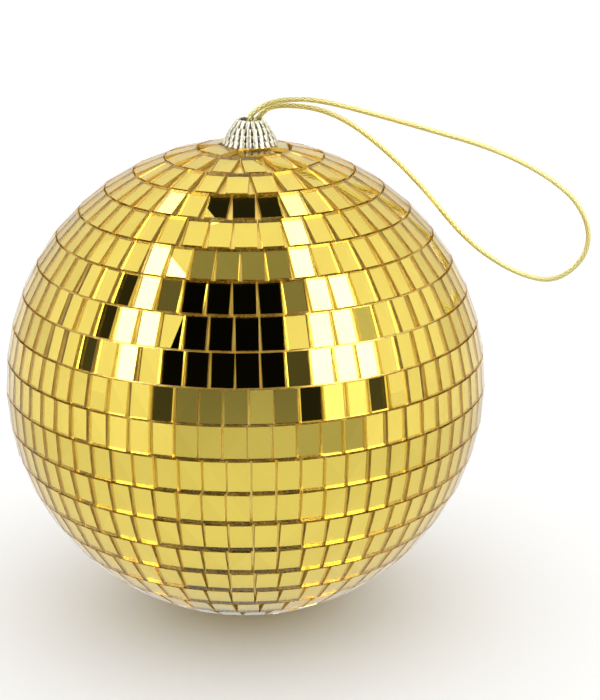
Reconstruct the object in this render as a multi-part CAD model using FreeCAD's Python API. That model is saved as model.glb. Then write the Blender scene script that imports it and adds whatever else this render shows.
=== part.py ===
import FreeCAD, Part

import math
import os
import random

# A 200 mm mirror ball: a hollow foam core in two halves, covered in gold film and rows of
# flat mirror tiles, with a knurled cap on its top pole and a cord loop to hang it by.
# Units are millimetres and +Z is up.  The origin is the centre of the cap's mouth, where
# the cord comes out.  The cord's pieces are made in that frame.  Everything else is made
# about the ball's centre: the cap and its fittings are then lowered by MOUTH_HEIGHT, and
# the ball itself is also moved by CAP_OFFSET, because the cap is glued a little off its pole.

# Tiles: each is flat and lies on a plane TILE_FACE from the ball's centre
TILE_FACE = 99.55
TILE_THICKNESS = 1.9
TILE_WIDTH = 8.5
TILE_HEIGHT = 12.9
ROW_PITCH = 7.9  # degrees of latitude from one row to the next
# Rows from the equator to a pole: how many tiles, and the longitude of a tile's middle in
# the upper half's row and in the lower half's row
ROWS = [
    (67, 4.1, 5.0),
    (65, 1.9, 2.2),
    (62, 3.3, 1.4),
    (58, 3.3, 1.2),
    (53, 4.8, 3.5),
    (48, 2.3, 5.9),
    (40, 0.3, 9.0),
    (32, 10.9, 3.0),
    (23, 15.5, 7.0),
    (14, 21.2, 12.0),
]
POLE_TILES = 5  # the last row round each pole, laid with the long side along the row
POLE_TILE_RADIUS = 13.4  # from the axis to the middle of such a tile
POLE_TILE_START = 4.0  # longitude of the first one's middle

# A hand-laid look: how far a tile may stray from its even place
SEED = 7
LEAN = 0.7  # degrees out of its plane
TURN_SHARE = 0.15  # of the free gap beside it, taken up by turning in its plane
SHIFT_SHARE = 0.30  # of the free gap beside it, taken up by sliding along the row
KEPT_GAP = 0.08  # always left between two tiles of a row

# Film under the tiles and the two foam half-shells under the film
FILM_OUTER = 97.45
FILM_INNER = 97.15
CORE_OUTER = 96.95
CORE_INNER = 80.95
LAP_RADIUS = 88.95  # middle of the tongue round the equator
LAP_WIDTH = 3.0
LAP_HEIGHT = 3.0
LAP_PLAY = 0.2
FILM_HOLE_RADIUS = 7.3
POLE_DISC_RADIUS = 8.2

# Top pole: cap, plug, sleeve and washer, as heights above the ball's centre
CAP_OFFSET = 2.5  # they stand this far to +X of the ball's centre
CAP_BASE = 99.4
CAP_HEIGHT = 10.0
CAP_BASE_RADIUS = 11.6
CAP_TOP_RADIUS = 5.6
CAP_WALL = 0.9
CAP_FLUTES = 26
FLUTE_DEPTH = 0.35
MOUTH_RADIUS = 4.7
SEAT_FLAT = 96.3  # flat on the foam that the plug's flange sits on
SEAT_RADIUS = 7.2
FLANGE_RADIUS = 6.2
FLANGE_THICKNESS = 2.0
STEM_HOLE_RADIUS = 5.3
STEM_RADIUS = 5.1
PAD_RADIUS = 14.0
PAD_BOTTOM = 78.0  # flat under the foam pad that the washer bears on
WASHER_RADIUS = 11.0
WASHER_THICKNESS = 1.2
SLEEVE_OUTER = 3.85
SLEEVE_BORE = 3.0
SLEEVE_FLANGE_RADIUS = 6.5
SLEEVE_FLANGE_THICKNESS = 1.0
SLEEVE_TOP_DROP = 1.6  # the sleeve's top lies this far under the cap's mouth
FIT = 0.05  # radial clearance between the sleeve and what it passes through
GLUE_RADIUS = 6.2  # between the plug's flange and the cap's base
GLUE_BASE = 99.9  # the glue spreads out under the cap from this height
GLUE_TOP = 103.0

# Cord
CORD_DIAMETER = 2.1
STRAND_OFFSET = 1.25  # from the axis to each strand's centre line
PIVOT_HEIGHT = 1.2  # the strands bend over at this height above the mouth
STEM_DROP = 2.2  # the strands inside the sleeve stop this far under the bend
KNOT_RADIUS = 4.6
KNOT_HEIGHT = 7.0
KNOT_GAP = 0.35
ARC_SHARE = 0.45  # of the shorter run, given to the arc at a corner

# The loop's route, as X and Z in the plane Y = 0, from just above the bend: out along the
# upper strand, round the far end and back along the lower one
CORD_ROUTE = [
    (0.0, 2.7), (3.3, 5.5), (8.4, 7.5), (16.0, 8.2), (27.5, 7.0), (43.5, 3.2),
    (60.5, -1.5), (77.5, -6.3), (94.5, -11.4), (110.0, -18.0), (123.5, -26.0),
    (134.5, -35.5), (140.3, -48.5), (137.6, -60.5), (126.0, -69.5), (112.0, -66.3),
    (98.5, -58.7), (86.0, -48.0), (73.5, -32.5), (62.0, -20.0), (50.5, -8.8),
    (40.0, -0.7), (28.5, 4.2), (16.8, 5.6), (7.8, 4.3), (2.3, 1.0),
]

MOUTH_HEIGHT = CAP_BASE + CAP_HEIGHT
UP = FreeCAD.Vector(0, 0, 1)
CENTRE = FreeCAD.Vector(0, 0, 0)
RIGHT_ANGLE = 90
FULL_TURN = 360
OVERLAP = 1  # pieces that are fused run this far into each other


def tube(outer, inner, bottom, top):
    """A round tube about the axis, between two heights."""
    base = FreeCAD.Vector(0, 0, bottom)
    outside = Part.makeCylinder(outer, top - bottom, base)
    return outside.cut(Part.makeCylinder(inner, top - bottom, base))


def half_shell(outer, inner, upper):
    """Half of a hollow ball, cut at the equator."""
    low, high = (0, RIGHT_ANGLE) if upper else (-RIGHT_ANGLE, 0)
    outside = Part.makeSphere(outer, CENTRE, UP, low, high, FULL_TURN)
    return outside.cut(Part.makeSphere(inner, CENTRE, UP, low, high, FULL_TURN))


def turned(outline):
    """The solid that an outline of (radius, height) points sweeps round the axis."""
    points = [FreeCAD.Vector(radius, 0, height) for radius, height in outline]
    face = Part.Face(Part.makePolygon(points + points[:1]))
    return face.revolve(CENTRE, UP, FULL_TURN)


# Foam core and film

def core_upper_half():
    """Upper foam shell: a tongue at the equator, and a drilled pad under the top pole."""
    shell = half_shell(CORE_OUTER, CORE_INNER, True)
    pad_height = CORE_INNER + OVERLAP - PAD_BOTTOM
    pad = Part.makeCylinder(PAD_RADIUS, pad_height, FreeCAD.Vector(CAP_OFFSET, 0, PAD_BOTTOM))
    tongue = tube(LAP_RADIUS + LAP_WIDTH / 2, LAP_RADIUS - LAP_WIDTH / 2, -LAP_HEIGHT, OVERLAP)
    hole = Part.makeCylinder(STEM_HOLE_RADIUS, CORE_OUTER, FreeCAD.Vector(CAP_OFFSET, 0, 0))
    seat = Part.makeCylinder(SEAT_RADIUS, CORE_OUTER, FreeCAD.Vector(CAP_OFFSET, 0, SEAT_FLAT))
    return shell.fuse([pad, tongue]).cut([hole, seat])


def core_lower_half():
    """Lower foam shell, with a groove at the equator for the other half's tongue."""
    groove = tube(
        LAP_RADIUS + LAP_WIDTH / 2 + LAP_PLAY,
        LAP_RADIUS - LAP_WIDTH / 2 - LAP_PLAY,
        -LAP_HEIGHT - LAP_PLAY,
        OVERLAP,
    )
    return half_shell(CORE_OUTER, CORE_INNER, False).cut(groove)


def backing_upper():
    """Gold film over the upper half, open under the cap."""
    hole = Part.makeCylinder(FILM_HOLE_RADIUS, FILM_OUTER, FreeCAD.Vector(CAP_OFFSET, 0, 0))
    return half_shell(FILM_OUTER, FILM_INNER, True).cut(hole)


# Mirror tiles

def tile(latitude, longitude, across, along, lean=(0, 0), turn=0):
    """One flat tile; across is its side along the row, along is its side up the ball."""
    corner = FreeCAD.Vector(-along / 2, -across / 2, -TILE_THICKNESS)
    box = Part.makeBox(along, across, TILE_THICKNESS, corner)
    place = FreeCAD.Rotation(UP, longitude)
    place = place.multiply(FreeCAD.Rotation(FreeCAD.Vector(0, 1, 0), RIGHT_ANGLE - latitude))
    outwards = place.multVec(UP)
    place = place.multiply(FreeCAD.Rotation(FreeCAD.Vector(1, 0, 0), lean[0]))
    place = place.multiply(FreeCAD.Rotation(FreeCAD.Vector(0, 1, 0), lean[1]))
    place = place.multiply(FreeCAD.Rotation(UP, turn))
    box.Placement = FreeCAD.Placement(outwards * TILE_FACE, place)
    return box


def tile_row(latitude, count, start, chance):
    """A ring of tiles, each slightly out of its even place in its own gap."""
    slope = math.radians(abs(latitude))
    back = TILE_FACE - TILE_THICKNESS
    narrow_radius = back * math.cos(slope) - TILE_HEIGHT / 2 * math.sin(slope)
    pitch = 2 * narrow_radius * math.tan(math.pi / count)
    free = pitch - TILE_WIDTH - KEPT_GAP
    turn_limit = math.degrees(TURN_SHARE * free / (TILE_HEIGHT / 2))
    shift_limit = math.degrees(SHIFT_SHARE * free / (TILE_FACE * math.cos(slope)))
    tiles = []
    for index in range(count):
        longitude = start + FULL_TURN * index / count + chance.uniform(-shift_limit, shift_limit)
        lean = (chance.uniform(-LEAN, LEAN), chance.uniform(-LEAN, LEAN))
        turn = chance.uniform(-turn_limit, turn_limit)
        tiles.append(tile(latitude, longitude, TILE_WIDTH, TILE_HEIGHT, lean, turn))
    return Part.makeCompound(tiles)


def pole_row(side):
    """The five tiles round a pole; side is 1 for the top and -1 for the bottom."""
    latitude = side * math.degrees(math.acos(POLE_TILE_RADIUS / TILE_FACE))
    step = FULL_TURN / POLE_TILES
    return Part.makeCompound([
        tile(latitude, POLE_TILE_START + step * index, TILE_HEIGHT, TILE_WIDTH)
        for index in range(POLE_TILES)
    ])


def all_tile_rows():
    """Every row by node name, numbered from the top pole to the bottom one."""
    chance = random.Random(SEED)
    upper = []
    lower = []
    for step, (count, upper_start, lower_start) in enumerate(ROWS):
        latitude = (step + 0.5) * ROW_PITCH
        upper.append(tile_row(latitude, count, upper_start, chance))
        lower.append(tile_row(-latitude, count, lower_start, chance))
    rows = [pole_row(1)] + upper[::-1] + lower + [pole_row(-1)]
    return {f"tile_row_{number:02d}": row for number, row in enumerate(rows, start=1)}


def pole_disc():
    """Round mirror that closes the bottom pole."""
    return Part.makeCylinder(POLE_DISC_RADIUS, TILE_THICKNESS, FreeCAD.Vector(0, 0, -TILE_FACE))


# Cap and what it covers

def cap_inner_radius(height):
    """The radius of the cap's hollow at a height above the ball's centre."""
    widest = CAP_BASE_RADIUS - CAP_WALL
    share = (height - CAP_BASE) / (CAP_HEIGHT - CAP_WALL)
    return widest + (MOUTH_RADIUS - widest) * share


def cap():
    """Hollow cone with an open mouth and flutes down its side."""
    shell = turned([
        (CAP_BASE_RADIUS, CAP_BASE),
        (CAP_TOP_RADIUS, MOUTH_HEIGHT),
        (MOUTH_RADIUS, MOUTH_HEIGHT),
        (MOUTH_RADIUS, MOUTH_HEIGHT - CAP_WALL),
        (CAP_BASE_RADIUS - CAP_WALL, CAP_BASE),
    ])
    flutes = []
    for index in range(CAP_FLUTES):
        angle = 2 * math.pi * index / CAP_FLUTES
        foot, crest = [
            FreeCAD.Vector(radius * math.cos(angle), radius * math.sin(angle), height)
            for radius, height in (
                (CAP_BASE_RADIUS, CAP_BASE),
                (CAP_TOP_RADIUS, MOUTH_HEIGHT),
            )
        ]
        flutes.append(Part.makeCylinder(FLUTE_DEPTH, crest.sub(foot).Length, foot, crest - foot))
    return shell.cut(flutes)


def cap_glue_ring():
    """Hard glue that joins the plug's flange to the inside of the cap."""
    bottom = SEAT_FLAT + FLANGE_THICKNESS
    return turned([
        (SLEEVE_OUTER + FIT, bottom),
        (GLUE_RADIUS, bottom),
        (GLUE_RADIUS, GLUE_BASE),
        (cap_inner_radius(GLUE_BASE), GLUE_BASE),
        (cap_inner_radius(GLUE_TOP), GLUE_TOP),
        (SLEEVE_OUTER + FIT, GLUE_TOP),
    ])


def cord_plug():
    """Plug with a flange on the foam and a stem through its hole."""
    flange = tube(FLANGE_RADIUS, SLEEVE_OUTER + FIT, SEAT_FLAT, SEAT_FLAT + FLANGE_THICKNESS)
    return flange.fuse(tube(STEM_RADIUS, SLEEVE_OUTER + FIT, PAD_BOTTOM, SEAT_FLAT))


def load_washer():
    """Washer that spreads the ball's weight over the foam pad."""
    return tube(WASHER_RADIUS, SLEEVE_OUTER + FIT, PAD_BOTTOM - WASHER_THICKNESS, PAD_BOTTOM)


def sleeve_bottom():
    """Height of the sleeve's lower face, which the knot bears on."""
    return PAD_BOTTOM - WASHER_THICKNESS - SLEEVE_FLANGE_THICKNESS


def guide_sleeve():
    """Smooth sleeve for the cord, with a flange under the washer."""
    bottom = sleeve_bottom()
    flange_top = bottom + SLEEVE_FLANGE_THICKNESS
    flange = tube(SLEEVE_FLANGE_RADIUS, SLEEVE_BORE, bottom, flange_top)
    return flange.fuse(tube(SLEEVE_OUTER, SLEEVE_BORE, flange_top, MOUTH_HEIGHT - SLEEVE_TOP_DROP))


# Cord, in the frame of the cap's mouth

def knot_top():
    """Height of the knot's top, below the sleeve's lower face."""
    return sleeve_bottom() - MOUTH_HEIGHT - KNOT_GAP


def cord_knot():
    """The knot's outer shape: a ball with its top and bottom cut flat."""
    reach = math.degrees(math.asin(KNOT_HEIGHT / 2 / KNOT_RADIUS))
    middle = FreeCAD.Vector(0, 0, knot_top() - KNOT_HEIGHT / 2)
    return Part.makeSphere(KNOT_RADIUS, middle, UP, -reach, reach, FULL_TURN)


def cord_stem():
    """The two strands between the knot and the bend at the mouth."""
    bottom = knot_top()
    length = PIVOT_HEIGHT - STEM_DROP - bottom
    return Part.makeCompound([
        Part.makeCylinder(CORD_DIAMETER / 2, length, FreeCAD.Vector(0, offset, bottom))
        for offset in (-STRAND_OFFSET, STRAND_OFFSET)
    ])


def rounded_path(points):
    """Straight runs joined by tangent arcs, as edges, with the radius of each arc."""
    edges = []
    radii = []
    start = points[0]
    for before, corner, after in zip(points, points[1:], points[2:]):
        back = before - corner
        ahead = after - corner
        turn = math.pi - back.getAngle(ahead)
        reach = ARC_SHARE * min(back.Length, ahead.Length)
        radius = reach / math.tan(turn / 2)
        first = corner + back.normalize() * reach
        last = corner + ahead.normalize() * reach
        inwards = (back + ahead).normalize()
        middle = corner + inwards * (radius / math.cos(turn / 2) - radius)
        edges.append(Part.LineSegment(start, first).toShape())
        edges.append(Part.Arc(first, middle, last).toShape())
        radii.append(radius)
        start = last
    edges.append(Part.LineSegment(start, points[-1]).toShape())
    return edges, radii


def cord_loop():
    """The loop outside the ball, from the mouth and back to it."""
    points = [FreeCAD.Vector(x, 0, z) for x, z in CORD_ROUTE]
    edges, radii = rounded_path(points)
    path = Part.Wire(edges)
    section = Part.makeCircle(CORD_DIAMETER / 2, points[0], points[1] - points[0])
    loop = path.makePipeShell([Part.Wire(section)], True, False)
    area = math.pi * CORD_DIAMETER ** 2 / 4
    print("cord radii", [round(radius, 1) for radius in radii])
    print("cord length", round(path.Length, 1))
    print("cord volume over section times length", round(loop.Volume / (area * path.Length), 4))
    return loop


def main():
    ball_parts = {
        "core_upper_half": core_upper_half(),
        "core_lower_half": core_lower_half(),
        "backing_upper": backing_upper(),
        "backing_lower": half_shell(FILM_OUTER, FILM_INNER, False),
        "pole_disc": pole_disc(),
    }
    ball_parts.update(all_tile_rows())
    pole_parts = {
        "cap": cap(),
        "cap_glue_ring": cap_glue_ring(),
        "cord_plug": cord_plug(),
        "load_washer": load_washer(),
        "guide_sleeve": guide_sleeve(),
    }
    cord_parts = {
        "cord_knot": cord_knot(),
        "cord_stem": cord_stem(),
        "cord_loop": cord_loop(),
    }
    os.makedirs("parts", exist_ok=True)
    for shape in ball_parts.values():
        shape.translate(FreeCAD.Vector(-CAP_OFFSET, 0, -MOUTH_HEIGHT))
    for shape in pole_parts.values():
        shape.translate(FreeCAD.Vector(0, 0, -MOUTH_HEIGHT))
    for name, shape in {**ball_parts, **pole_parts, **cord_parts}.items():
        shape.exportStep(f"parts/{name}.step")


main()
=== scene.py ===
"""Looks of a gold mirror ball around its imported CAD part, in metres, in the CAD's own frame.

The glass tiles, the film, the cores and the fittings are the CAD nodes with better materials.
The knurled cap and the braided cord are detailed pieces that replace their CAD nodes.
"""
import math

import bpy
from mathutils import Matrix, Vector


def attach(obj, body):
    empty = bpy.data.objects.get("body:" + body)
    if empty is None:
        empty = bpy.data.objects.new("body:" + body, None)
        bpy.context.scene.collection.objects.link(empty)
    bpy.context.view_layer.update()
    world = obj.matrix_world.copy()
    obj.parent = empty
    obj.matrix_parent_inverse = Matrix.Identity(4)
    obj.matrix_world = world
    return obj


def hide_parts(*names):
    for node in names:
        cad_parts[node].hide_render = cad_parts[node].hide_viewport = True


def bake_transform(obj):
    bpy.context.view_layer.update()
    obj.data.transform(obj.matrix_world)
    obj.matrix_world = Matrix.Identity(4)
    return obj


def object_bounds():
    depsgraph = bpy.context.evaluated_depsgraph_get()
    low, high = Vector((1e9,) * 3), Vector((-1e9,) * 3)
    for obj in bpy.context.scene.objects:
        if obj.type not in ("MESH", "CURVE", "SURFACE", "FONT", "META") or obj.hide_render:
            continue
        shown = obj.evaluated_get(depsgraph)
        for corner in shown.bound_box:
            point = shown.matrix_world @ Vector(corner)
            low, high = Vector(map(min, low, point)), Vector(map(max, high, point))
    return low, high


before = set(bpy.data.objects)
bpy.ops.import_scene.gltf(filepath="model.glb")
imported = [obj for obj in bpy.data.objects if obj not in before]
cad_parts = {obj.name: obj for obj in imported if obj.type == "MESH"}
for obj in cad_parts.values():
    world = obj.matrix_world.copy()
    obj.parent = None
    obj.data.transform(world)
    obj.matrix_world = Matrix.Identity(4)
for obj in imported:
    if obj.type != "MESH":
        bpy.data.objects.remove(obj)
CAD_LOW, CAD_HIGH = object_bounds()

BALL_CENTRE = Vector((-0.0025, 0, -0.1094))
MIRROR_LIMIT = -0.8  # a tile's face this far turned from outwards is its back
EDGE_LIMIT = 0.5  # and one this far turned is an edge
SIDE_LIMIT = 0.7  # an edge that faces this much along its row is a long side
HOLLOW = "hollow"  # the attribute that says how far a point of a new piece is pressed in, and how much painted shade it gets there

# The cap, whose mouth is at the origin: a convex cone of petals with drop-shaped hollows between
CAP_HEIGHT = 0.0100
CAP_BASE_RADIUS = 0.0116
CAP_TOP_RADIUS = 0.0056
CAP_CROWN = 0.0004  # how far the cone's side swells out in the middle
CAP_WALL = 0.0006  # at its foot
CAP_LIP = 0.0009  # how wide the rim round its mouth is
CAP_ROWS = [25, 23, 21, 18]  # hollows round each row, from the base up
PETAL_RELIEF = 0.00030  # how far a petal's middle stands out from its sides
EDGE_SCALLOP = 0.0005  # how far the cap's two edges are cut back between petals
SLIT_WIDTH = 0.0013
SLIT_LENGTH = 0.0034
SLIT_DEPTH = 0.0008
SLIT_DROP = 0.025  # how far the slits sit below the middle of their row, as a share of the side
CAP_SIDE = math.hypot(CAP_HEIGHT, CAP_BASE_RADIUS - CAP_TOP_RADIUS)
CAP_ROUND_STEPS = 560
CAP_RISE_STEPS = 90

# The cord's control points, in the plane of the loop.  They follow the CAD route, but those
# within 65 mm of the mouth and the one at the far end lie up to 1.5 mm off it, and there is one
# point more, so that the two ends lead down to the mouth's right side
CORD_RADIUS = 0.00114
STRAND_OFFSET = 0.00125  # of each strand's centre line in front of or behind the loop's plane
CORD_ROUTE = [
    (0.0007, 0.0021), (0.0038, 0.0048), (0.0088, 0.0070), (0.0160, 0.0080),
    (0.0270, 0.0077), (0.0430, 0.0037), (0.0605, -0.0013), (0.0775, -0.0063),
    (0.0945, -0.0114), (0.1100, -0.0180), (0.1235, -0.0260), (0.1345, -0.0355),
    (0.1402, -0.0485), (0.1376, -0.0605), (0.1260, -0.0695), (0.1120, -0.0663),
    (0.0985, -0.0587), (0.0860, -0.0480), (0.0735, -0.0325), (0.0620, -0.0200),
    (0.0503, -0.0094), (0.0400, -0.0017), (0.0285, 0.0036), (0.0168, 0.0053),
    (0.0086, 0.0048), (0.0050, 0.0024), (0.0028, -0.0004),
]
STEM_FOOT = -0.0340  # the strands go this far down, to the knot
SLEEVE_TOP = -0.0016  # and bend over above this height
STEM_REACH = 0.0012  # how far from the axis a strand may be inside the sleeve
BEND_REACH = 0.0013  # from the middle of a strand's bend to its end of the loop

# The cord's braid: ribbons of thread that wind both ways round it, over and under
BRAID_RIBBONS = 6
BRAID_CELL = 0.0012  # along the cord
BRAID_DEPTH = 0.00040
BRAID_ROUND_STEPS = 36
BRAID_STEP = 0.00016
ROUTE_STEPS = 12  # points that a spline makes for each of its control points

# The camera stands at the photograph's viewing angle
CAMERA_DISTANCE = 0.80
CAMERA_ELEVATION = math.radians(18.65)
CAMERA_LENS = 97.75  # millimetres
AIM_RIGHT = 0.0227  # of the ball's centre, as seen
AIM_UP = 0.0107


def make_camera():
    """A long lens in front of the ball, aimed to the right of it so that the loop is in view."""
    back = Vector((0, -math.cos(CAMERA_ELEVATION), math.sin(CAMERA_ELEVATION)))
    up = Vector((0, math.sin(CAMERA_ELEVATION), math.cos(CAMERA_ELEVATION)))
    place = BALL_CENTRE + back * CAMERA_DISTANCE
    target = BALL_CENTRE + Vector((1, 0, 0)) * AIM_RIGHT + up * AIM_UP
    data = bpy.data.cameras.new("camera")
    data.lens = CAMERA_LENS
    camera = bpy.data.objects.new("camera", data)
    camera.location = place
    camera.rotation_euler = (target - place).to_track_quat("-Z", "Y").to_euler()
    bpy.context.scene.collection.objects.link(camera)
    bpy.context.scene.camera = camera


# ---------------------------------------------------------------- materials


def new_material(name):
    """A material with only its output and one Principled shader."""
    material = bpy.data.materials.new(name)
    material.use_nodes = True
    return material, material.node_tree, material.node_tree.nodes["Principled BSDF"]


def noise(tree, scale, detail):
    """Smooth noise fixed to the object, from 0 to 1."""
    place = tree.nodes.new("ShaderNodeTexCoord")
    texture = tree.nodes.new("ShaderNodeTexNoise")
    texture.inputs["Scale"].default_value = scale
    texture.inputs["Detail"].default_value = detail
    tree.links.new(place.outputs["Object"], texture.inputs["Vector"])
    return texture.outputs["Fac"]


def ramp(tree, value, stops):
    """A colour ramp; stops are (position, colour or grey)."""
    node = tree.nodes.new("ShaderNodeValToRGB")
    elements = node.color_ramp.elements
    while len(elements) < len(stops):
        elements.new(1.0)
    for element, (position, colour) in zip(elements, stops):
        element.position = position
        grey = isinstance(colour, (int, float))
        element.color = (colour, colour, colour, 1) if grey else (*colour, 1)
    tree.links.new(value, node.inputs["Fac"])
    return node.outputs["Color"]


def bump(tree, shader, height, strength, distance):
    """Fine relief that only tilts the light, for a distance too small to model."""
    node = tree.nodes.new("ShaderNodeBump")
    node.inputs["Strength"].default_value = strength
    node.inputs["Distance"].default_value = distance
    tree.links.new(height, node.inputs["Height"])
    tree.links.new(node.outputs["Normal"], shader.inputs["Normal"])


def glass_material():
    """Clear glass of the tiles, with a few faint smears."""
    material, tree, shader = new_material("tile_glass")
    shader.inputs["Base Color"].default_value = (1.0, 1.0, 0.97, 1)
    shader.inputs["Specular Tint"].default_value = (1.0, 0.84, 0.32, 1)
    shader.inputs["Transmission Weight"].default_value = 1.0
    shader.inputs["IOR"].default_value = 1.5
    smears = ramp(tree, noise(tree, 90, 5), [(0.62, 0.0), (0.8, 0.06)])
    tree.links.new(smears, shader.inputs["Roughness"])
    return material


def end_material():
    """The tiles' sawn short ends, lacquered gold, some clean and some dull."""
    material, tree, shader = new_material("lacquered_end")
    island = tree.nodes.new("ShaderNodeNewGeometry").outputs["Random Per Island"]
    shine = ramp(tree, island, [(0.0, 0.35), (0.8, 0.98)])
    tree.links.new(shine, shader.inputs["Metallic"])
    tint = ramp(tree, noise(tree, 260, 4), [(0.3, (0.62, 0.41, 0.08)), (0.7, (0.84, 0.64, 0.16))])
    tree.links.new(tint, shader.inputs["Base Color"])
    gloss = ramp(tree, noise(tree, 700, 3), [(0.3, 0.16), (0.7, 0.38)])
    tree.links.new(gloss, shader.inputs["Roughness"])
    return material


def side_material():
    """The tiles' snapped long sides: partly clear, and stained gold by the lacquer."""
    material, tree, shader = new_material("snapped_side")
    shader.inputs["Transmission Weight"].default_value = 0.64
    shader.inputs["IOR"].default_value = 1.01
    stain = ramp(tree, noise(tree, 420, 4), [(0.3, (0.92, 0.64, 0.12)), (0.7, (1.00, 0.82, 0.28))])
    tree.links.new(stain, shader.inputs["Base Color"])
    gloss = ramp(tree, noise(tree, 900, 3), [(0.3, 0.02), (0.7, 0.14)])
    tree.links.new(gloss, shader.inputs["Roughness"])
    return material


def coat_material():
    """Gold mirror coat on the tiles' backs, a little different from tile to tile."""
    material, tree, shader = new_material("mirror_coat")
    shader.inputs["Metallic"].default_value = 1.0
    shader.inputs["Roughness"].default_value = 0.0
    island = tree.nodes.new("ShaderNodeNewGeometry").outputs["Random Per Island"]
    tint = ramp(tree, island, [(0.0, (0.74, 0.57, 0.098)), (1.0, (0.78, 0.61, 0.110))])
    tree.links.new(tint, shader.inputs["Base Color"])
    return material


def film_material():
    """Gold film, creased where it is pulled over the round core."""
    material, tree, shader = new_material("gold_film")
    shader.inputs["Metallic"].default_value = 0.5
    shader.inputs["Roughness"].default_value = 0.32
    tint = ramp(tree, noise(tree, 160, 4), [(0.3, (0.92, 0.64, 0.12)), (0.7, (1.00, 0.80, 0.24))])
    tree.links.new(tint, shader.inputs["Base Color"])
    bump(tree, shader, noise(tree, 420, 3), 0.35, 0.0004)
    return material


def plain_material(name, colour, roughness, metallic=0.0, scale=300, depth=0.0002):
    """A moulded or machined surface with fine unevenness in tone and height."""
    material, tree, shader = new_material(name)
    shader.inputs["Roughness"].default_value = roughness
    shader.inputs["Metallic"].default_value = metallic
    dark = tuple(0.88 * part for part in colour)
    tint = ramp(tree, noise(tree, scale, 4), [(0.35, dark), (0.65, colour)])
    tree.links.new(tint, shader.inputs["Base Color"])
    bump(tree, shader, noise(tree, 3 * scale, 3), 0.25, depth)
    return material


def foam_material():
    """Expanded polystyrene: small pressed beads with thin seams between them."""
    material, tree, shader = new_material("foam_beads")
    shader.inputs["Roughness"].default_value = 0.85
    shader.inputs["Subsurface Weight"].default_value = 0.1
    place = tree.nodes.new("ShaderNodeTexCoord")
    cells = tree.nodes.new("ShaderNodeTexVoronoi")
    cells.feature = "DISTANCE_TO_EDGE"
    cells.inputs["Scale"].default_value = 330
    tree.links.new(place.outputs["Object"], cells.inputs["Vector"])
    distance = cells.outputs["Distance"]
    tint = ramp(tree, distance, [(0.0, (0.70, 0.71, 0.72)), (0.12, (0.93, 0.94, 0.94))])
    tree.links.new(tint, shader.inputs["Base Color"])
    bump(tree, shader, ramp(tree, distance, [(0.0, 0.0), (0.25, 1.0)]), 0.6, 0.0004)
    return material


def paint_hollow_shade(tree, colour, dark):
    """A colour that turns to a dark one where the HOLLOW attribute says so: painted shade in the
    hollows.
    """
    hollow = tree.nodes.new("ShaderNodeAttribute")
    hollow.attribute_name = HOLLOW
    mix = tree.nodes.new("ShaderNodeMix")
    mix.data_type = "RGBA"
    tree.links.new(hollow.outputs["Fac"], mix.inputs["Factor"])
    tree.links.new(colour, mix.inputs["A"])
    mix.inputs["B"].default_value = (*dark, 1)
    return mix.outputs["Result"]


def cap_material():
    """Bright plated metal, mottled, with painted shade, near black, where it is pressed in."""
    material, tree, shader = new_material("silver_plate")
    shader.inputs["Metallic"].default_value = 0.75
    plate = ramp(tree, noise(tree, 1100, 4), [(0.35, (0.41, 0.39, 0.28)), (0.62, (0.84, 0.80, 0.64))])
    # painted shade: the slits' hollows turn near black
    tone = paint_hollow_shade(tree, plate, (0.030, 0.024, 0.018))
    tree.links.new(tone, shader.inputs["Base Color"])
    gloss = ramp(tree, noise(tree, 1500, 2), [(0.3, 0.34), (0.7, 0.50)])
    tree.links.new(gloss, shader.inputs["Roughness"])
    bump(tree, shader, noise(tree, 2600, 2), 0.3, 0.0001)
    return material


def cord_material():
    """Metallic gold thread, uneven in tone from fibre to fibre, with painted shade between the
    ribbons.
    """
    material, tree, shader = new_material("gold_cord")
    shader.inputs["Metallic"].default_value = 0.9
    shader.inputs["Roughness"].default_value = 0.3
    shader.inputs["Specular Tint"].default_value = (0.40, 0.30, 0.08, 1)
    thread = ramp(tree, noise(tree, 2200, 3), [(0.3, (0.88, 0.80, 0.30)), (0.7, (1.00, 0.97, 0.58))])
    # painted shade: the braid's hollows between the ribbons turn dark brown
    tone = paint_hollow_shade(tree, thread, (0.40, 0.29, 0.05))
    tree.links.new(tone, shader.inputs["Base Color"])
    bump(tree, shader, noise(tree, 5200, 2), 0.3, 0.0001)
    return material


# ---------------------------------------------------------------- CAD nodes


def dress(node, *materials):
    """Gives a CAD node new materials in place of the ones it came with."""
    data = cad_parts[node].data
    data.materials.clear()
    for material in materials:
        data.materials.append(material)


def dress_tiles(node, front, back, end, side):
    """One material for each tile's front, one for its back and two for its edges."""
    dress(node, front, back, end, side)
    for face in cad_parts[node].data.polygons:
        outwards = (face.center - BALL_CENTRE).normalized()
        along_row = outwards.cross(Vector((0, 0, 1))).normalized()
        facing = face.normal.dot(outwards)
        if facing < MIRROR_LIMIT:
            face.material_index = 1
        elif facing < EDGE_LIMIT:
            face.material_index = 3 if abs(face.normal.dot(along_row)) > SIDE_LIMIT else 2


def dress_nodes():
    """New materials for every CAD node that stays in view or inside, except the cord's knot."""
    tile_materials = (glass_material(), coat_material(), end_material(), side_material())
    film = film_material()
    foam = foam_material()
    plastic = plain_material("white_plastic", (0.86, 0.86, 0.84), 0.38)
    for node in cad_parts:
        if node.startswith("tile_row") or node == "pole_disc":
            dress_tiles(node, *tile_materials)
        elif node.startswith("backing"):
            dress(node, film)
        elif node.startswith("core"):
            dress(node, foam)
    dress("cord_plug", plastic)
    dress("guide_sleeve", plastic)
    dress("load_washer", plain_material("steel", (0.62, 0.62, 0.63), 0.3, 1.0, 700, 0.0001))
    dress("cap_glue_ring", plain_material("hot_glue", (0.85, 0.78, 0.58), 0.25))


# ---------------------------------------------------------------- new meshes


def grid_faces(rows, columns, first=0):
    """Quads between rings of points, closed round each ring."""
    return [
        (
            first + row * columns + column,
            first + row * columns + (column + 1) % columns,
            first + (row + 1) * columns + (column + 1) % columns,
            first + (row + 1) * columns + column,
        )
        for row in range(rows - 1)
        for column in range(columns)
    ]


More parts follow.
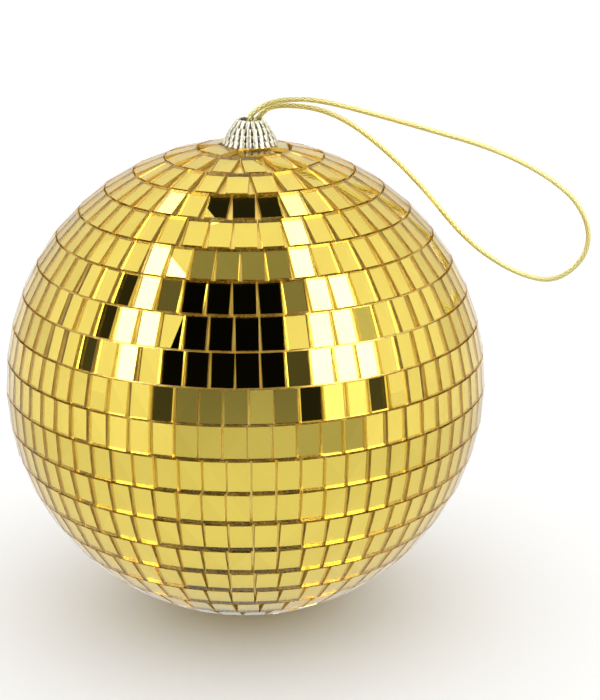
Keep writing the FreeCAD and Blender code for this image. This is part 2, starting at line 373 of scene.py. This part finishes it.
def new_piece(name, verts, faces, material, hollows):
    """A smooth piece; hollows says how far each of its points is pressed in, from 0 to 1."""
    mesh = bpy.data.meshes.new(name)
    mesh.from_pydata(verts, [], faces)
    mesh.attributes.new(HOLLOW, "FLOAT", "POINT").data.foreach_set("value", hollows)
    mesh.materials.append(material)
    mesh.shade_smooth()
    piece = bpy.data.objects.new(name, mesh)
    bpy.context.scene.collection.objects.link(piece)
    return piece


# ---------------------------------------------------------------- the cap


def cone_radius(rise):
    """The cap's radius a share of the way up its side, before it swells."""
    return CAP_BASE_RADIUS + (CAP_TOP_RADIUS - CAP_BASE_RADIUS) * rise


def slit_depth(across, up):
    """How deep a drop-shaped slit is, from 0 to 1, at a distance across it and a share up it."""
    if not 0 < up < 1:
        return 0.0
    half_width = SLIT_WIDTH / 2 * (1 - up) ** 0.6 * min(1, 6 * up + 0.35)
    return max(0, min(1, 2.5 * (1 - abs(across) / half_width))) * (1 - 0.4 * up)


def cap_relief(angle, rise):
    """How much of a groove between petals there is, and how much of a slit, at an angle round
    the cap and a share of the way up its side."""
    rows = len(CAP_ROWS)
    nearest = min(max(rise, 0.5 / rows), 1 - 0.5 / rows)
    groove = 0.0
    slit = 0.0
    for row, count in enumerate(CAP_ROWS):
        middle = (row + 0.5) / rows
        turn = angle / (2 * math.pi) * count + 0.5 * (row % 2)
        near = max(0, 1 - abs(nearest - middle) * rows)
        groove += near * (0.5 + 0.5 * math.cos(2 * math.pi * turn)) ** 2
        across = (turn - round(turn)) * 2 * math.pi * cone_radius(middle) / count
        up = (rise - middle + SLIT_DROP) * CAP_SIDE / SLIT_LENGTH + 0.5
        slit = max(slit, slit_depth(across, up))
    return groove, slit


def cap_point(radius, angle, height):
    return (radius * math.cos(angle), radius * math.sin(angle), height)


def cap_rings():
    """The cap's rings of points, from its foot up its outside and down its inside, and how far
    each point is pressed in."""
    outside, lip, foot, hollows = [], [], [], []
    for step in range(CAP_RISE_STEPS + 1):
        rise = step / CAP_RISE_STEPS
        radius = cone_radius(rise) + CAP_CROWN * math.sin(math.pi * rise)
        edge = 1 - 2 * rise
        for turn in range(CAP_ROUND_STEPS):
            angle = 2 * math.pi * turn / CAP_ROUND_STEPS
            groove, slit = cap_relief(angle, rise)
            pressed = PETAL_RELIEF * groove + SLIT_DEPTH * slit
            height = (rise - 1) * CAP_HEIGHT + EDGE_SCALLOP * groove * edge * abs(edge) ** 5
            outside.append(cap_point(radius - pressed, angle, height))
            hollows.append(slit)
            if step == 0:
                foot.append(cap_point(radius - pressed / 2 - CAP_WALL, angle, height))
            if step == CAP_RISE_STEPS:
                lip.append(cap_point(radius - CAP_LIP, angle, height))
    return outside + lip + foot, hollows + [0.0] * (len(lip) + len(foot))


def make_cap(material):
    """The cone of petals, closed from its inside to its outside at the foot."""
    verts, hollows = cap_rings()
    faces = grid_faces(CAP_RISE_STEPS + 3, CAP_ROUND_STEPS)
    last = len(verts) - CAP_ROUND_STEPS
    for turn in range(CAP_ROUND_STEPS):
        following = (turn + 1) % CAP_ROUND_STEPS
        faces.append((last + turn, last + following, following, turn))
    cap = new_piece("knurled_cap", verts, faces, material, hollows)
    cap.data.set_sharp_from_angle(angle=math.radians(50))
    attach(cap, "ball")
    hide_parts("cap")


# ---------------------------------------------------------------- the cord


def spline_points(controls):
    """Points along the smooth line that a NURBS spline makes of its control points."""
    curve = bpy.data.curves.new("route", "CURVE")
    curve.dimensions = "3D"
    curve.resolution_u = ROUTE_STEPS
    spline = curve.splines.new("NURBS")
    spline.points.add(len(controls) - 1)
    for point, control in zip(spline.points, controls):
        point.co = (*control, 1)
    spline.order_u = 3
    spline.use_endpoint_u = True
    route = bpy.data.objects.new("route", curve)
    mesh = bpy.data.meshes.new_from_object(route)
    points = [vertex.co.copy() for vertex in mesh.vertices]
    bpy.data.objects.remove(route)
    bpy.data.curves.remove(curve)
    bpy.data.meshes.remove(mesh)
    return points


def even_points(points, step):
    """Points a constant step apart along a line, with the way the line runs at each."""
    lengths = [0.0]
    for before, after in zip(points, points[1:]):
        lengths.append(lengths[-1] + (after - before).length)
    count = round(lengths[-1] / step)
    places, ways = [], []
    piece = 0
    for index in range(count + 1):
        distance = lengths[-1] * index / count
        while piece < len(points) - 2 and lengths[piece + 1] < distance:
            piece += 1
        run = points[piece + 1] - points[piece]
        share = (distance - lengths[piece]) / run.length
        places.append(points[piece] + run * share)
        ways.append(run.normalized())
    return places, ways


def braid_height(turn, distance):
    """How far the braid stands out, from 0 to 1, at a share of a turn round it and a distance."""
    one = turn * BRAID_RIBBONS + distance / (2 * BRAID_CELL)
    other = turn * BRAID_RIBBONS - distance / (2 * BRAID_CELL)
    over = (math.floor(one) + math.floor(other)) % 2 == 0
    across, along = (one, other) if over else (other, one)
    crown = math.sin(math.pi * (across % 1))
    arch = math.sin(math.pi * (along % 1))
    return crown ** 0.5 * (0.35 + 0.65 * arch)


def make_braid(name, points, material):
    """A braided cord along a line; returns the piece and the points that it follows."""
    places, ways = even_points(points, BRAID_STEP)
    verts, hollows = [], []
    side = Vector((0, 1, 0))
    for index, (place, way) in enumerate(zip(places, ways)):
        side = (side - way * side.dot(way)).normalized()
        other = way.cross(side)
        for step in range(BRAID_ROUND_STEPS):
            turn = step / BRAID_ROUND_STEPS
            hollow = 1 - braid_height(turn, index * BRAID_STEP)
            angle = 2 * math.pi * turn
            out = side * math.cos(angle) + other * math.sin(angle)
            verts.append(place + out * (CORD_RADIUS - BRAID_DEPTH * hollow))
            hollows.append(hollow)
    faces = grid_faces(len(places), BRAID_ROUND_STEPS)
    faces.append(tuple(range(BRAID_ROUND_STEPS))[::-1])
    faces.append(tuple(range(len(verts) - BRAID_ROUND_STEPS, len(verts))))
    piece = new_piece(name, verts, faces, material, hollows)
    return piece, places


def make_loop(material):
    """The loop, which leaves the cap as the strand in front and comes back as the one behind."""
    last = len(CORD_ROUTE) - 1
    controls = [
        (right, STRAND_OFFSET * (2 * index / last - 1), up)
        for index, (right, up) in enumerate(CORD_ROUTE)
    ]
    cord, path = make_braid("hanging_cord", spline_points(controls), material)
    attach(cord, "cord")
    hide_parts("cord_loop")
    return controls


def make_stem(name, ahead, end, material):
    """One strand from the knot up to its end of the loop, which it meets in line."""
    bend = end - (ahead - end).normalized() * BEND_REACH
    inside = min(bend.x, STEM_REACH)
    controls = [
        (0, end.y, STEM_FOOT),
        (inside, end.y, STEM_FOOT / 2),
        (inside, end.y, 2 * SLEEVE_TOP),
        tuple(bend),
        tuple(end),
    ]
    stem, _ = make_braid(name, spline_points(controls), material)
    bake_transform(stem)
    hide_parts("cord_stem")


def make_cord(material):
    """The loop, and the two strands that join its ends to the knot."""
    controls = [Vector(control) for control in make_loop(material)]
    make_stem("strand_in_front", controls[1], controls[0], material)
    make_stem("strand_behind", controls[-2], controls[-1], material)


# ---------------------------------------------------------------- the studio

GLOW = "glow"  # the attribute that says how bright a point of a panel is
CARD_DISTANCE = 3.0
CARD_STEPS = 10
CARD_ABOVE_FLOOR = 0.998  # share of the way to the floor, for a panel that lies on it
FLOOR_REACH = 12.0
WORLD_LIGHT = 1.2
# The photographer's room as the ball sees it: each panel is a list of edges from its bottom to
# its top, as elevation, azimuths of its left and right ends, and glow
CARDS = {
    "dark_front": [(10, -46, 24, 0.01), (20, -43, 24, 0.003), (37, -42, 28, 0.002),
                   (48, -51, 33, 0.002), (58, -52, 34, 0.003)],
    "left_post": [(28, -50, -42, 0.08), (48, -62, -50, 0.16), (58, -62, -51, 0.25)],
    "right_post": [(10, 24, 33, 0.04), (26, 24, 31, 0.12)],
    "right_shoulder": [(48, 33, 42, 0.26), (58, 34, 46, 0.30)],
    "dim_ceiling": [(58, -58, 46, 0.30), (66, -54, 51, 0.33), (76, -50, 56, 0.38)],
    "horizon_left": [(-4, -46, -33, 0.10), (10, -46, -33, 0.04)],
    "horizon_middle": [(-4, -33, 1, 0.48), (10, -33, 1, 0.12)],
    "horizon_light": [(-4, 1, 13, 0.90), (10, 1, 13, 0.20)],
    "horizon_right": [(-4, 13, 24, 0.45), (10, 13, 24, 0.08)],
    "doorway": [(-4, 24, 34, 0.02), (10, 24, 31, 0.02)],
    "left_softbox": [(6, -68, -48, 7), (20, -67, -48, 7), (30, -75, -50, 7),
                     (46, -79, -61, 7), (61, -92, -62, 7)],
    "left_flare": [(75, -125, -80, 5), (84, -125, -80, 5)],
    "left_glint": [(48, -148, -134, 4), (58, -148, -134, 4)],
    "right_softbox": [(-2, 38, 58, 1.4), (6, 36, 62, 2), (10, 34, 66, 7), (20, 32, 68, 7),
                      (37, 37, 64, 7), (52, 46, 76, 7), (64, 54, 73, 7)],
    "right_flare": [(66, 78, 118, 6), (75, 82, 125, 6)],
    "back_flare": [(57, 125, 158, 4), (68, 125, 158, 4)],
    "right_edge": [(-2, 59, 70, 0.08), (9, 67, 72, 0.08)],
    "left_edge": [(4, -90, -72, 0.10), (13, -89, -74, 0.06), (25, -88, -78, 0.03),
                  (44, -88, -80, 0.03)],
    "right_dusk": [(24, 68, 75, 0.75), (33, 66, 75, 0.75)],
    "backdrop_right": [(-4, 112, 154, 0.92), (47, 120, 154, 1.10)],
    "backdrop_middle": [(-4, 154, 206, 0.88), (47, 154, 206, 1.10)],
    "backdrop_left": [(-4, 206, 248, 0.96), (47, 206, 240, 1.12)],
    "dark_back": [(67, 148, 212, 0.02), (79, 148, 212, 0.02)],
    # This panel paints light and shade on the floor round the ball's foot, in place of the floor's
    # own light and the ball's shadow; it is seen only in reflections
    "floor_glow": [(-86, -156, 156, 0.38), (-76, -156, 156, 0.68), (-60, -156, 156, 0.92),
                   (-36, -156, 156, 1.03), (-24, -156, 156, 0.98), (-17, -156, 156, 0.96)],
    # The next two panels paint a shadow on the floor in front of the ball, darker to its right; they
    # are seen only in reflections
    "floor_shade": [(-17, -33, 19, 0.84), (-12, -33, 21, 0.76), (-4, -38, 27, 0.70)],
    "floor_shade_right": [(-17, 19, 52, 0.62), (-12, 21, 52, 0.54), (-4, 27, 54, 0.60)],
}


def direction(azimuth, elevation):
    """Azimuth 0 is towards the camera, and positive to its right."""
    a, e = math.radians(azimuth), math.radians(elevation)
    return Vector((math.sin(a) * math.cos(e), -math.cos(a) * math.cos(e), math.sin(e)))


def card_material():
    """Light as strong as the panel's own GLOW attribute says."""
    material = bpy.data.materials.new("card_glow")
    material.use_nodes = True
    tree = material.node_tree
    tree.nodes.clear()
    glow = tree.nodes.new("ShaderNodeAttribute")
    glow.attribute_name = GLOW
    light = tree.nodes.new("ShaderNodeEmission")
    output = tree.nodes.new("ShaderNodeOutputMaterial")
    tree.links.new(glow.outputs["Fac"], light.inputs["Strength"])
    tree.links.new(light.outputs[0], output.inputs["Surface"])
    return material


def card_reach(way):
    """From the ball's centre to a panel: at a fixed distance, or nearer where the floor is."""
    if way.z >= 0:
        return way * CARD_DISTANCE
    floor_distance = (BALL_CENTRE.z - CAD_LOW.z) / -way.z
    return way * min(CARD_DISTANCE, CARD_ABOVE_FLOOR * floor_distance)


def make_card(name, edges, material):
    """A curved panel round the ball, seen only in reflections; below the horizon it lies on
    the floor."""
    verts, faces, values = [], [], []
    side = CARD_STEPS + 1
    rows = CARD_STEPS * (len(edges) - 1)
    for row in range(rows + 1):
        piece = min(row // CARD_STEPS, len(edges) - 2)
        share = row / CARD_STEPS - piece
        elevation, left, right, glow = (
            low + (high - low) * share for low, high in zip(edges[piece], edges[piece + 1])
        )
        for column in range(side):
            azimuth = left + (right - left) * column / CARD_STEPS
            verts.append(BALL_CENTRE + card_reach(direction(azimuth, elevation)))
            values.append(glow)
    for row in range(rows):
        for column in range(CARD_STEPS):
            first = row * side + column
            faces.append((first, first + 1, first + side + 1, first + side))
    mesh = bpy.data.meshes.new(name)
    mesh.from_pydata(verts, [], faces)
    mesh.attributes.new(GLOW, "FLOAT", "POINT").data.foreach_set("value", values)
    mesh.materials.append(material)
    card = bpy.data.objects.new(name, mesh)
    card.visible_camera = False
    card.visible_diffuse = False
    card.visible_shadow = False
    bpy.context.scene.collection.objects.link(card)


def make_floor():
    """A wide pale floor under the ball's lowest point."""
    corners = [(-FLOOR_REACH, -FLOOR_REACH), (FLOOR_REACH, -FLOOR_REACH),
               (FLOOR_REACH, FLOOR_REACH), (-FLOOR_REACH, FLOOR_REACH)]
    mesh = bpy.data.meshes.new("floor")
    mesh.from_pydata([(x, y, CAD_LOW.z) for x, y in corners], [], [(0, 1, 2, 3)])
    material, _, shader = new_material("pale_floor")
    shader.inputs["Base Color"].default_value = (0.90, 0.90, 0.90, 1)
    shader.inputs["Roughness"].default_value = 0.8
    mesh.materials.append(material)
    floor = bpy.data.objects.new("floor", mesh)
    bpy.context.scene.collection.objects.link(floor)


def make_studio():
    """Even light from all round, a floor, and the panels that the tiles mirror."""
    scene = bpy.context.scene
    scene.view_settings.view_transform = "Standard"
    world = bpy.data.worlds.new("studio")
    scene.world = world
    world.use_nodes = True
    world.node_tree.nodes["Background"].inputs["Color"].default_value = (1, 1, 1, 1)
    world.node_tree.nodes["Background"].inputs["Strength"].default_value = WORLD_LIGHT
    glow = card_material()
    for name, edges in CARDS.items():
        make_card(name, edges, glow)
    make_floor()


make_camera()
gold_thread = cord_material()
make_cord(gold_thread)
dress_nodes()
dress("cord_knot", gold_thread)
make_cap(cap_material())
make_studio()
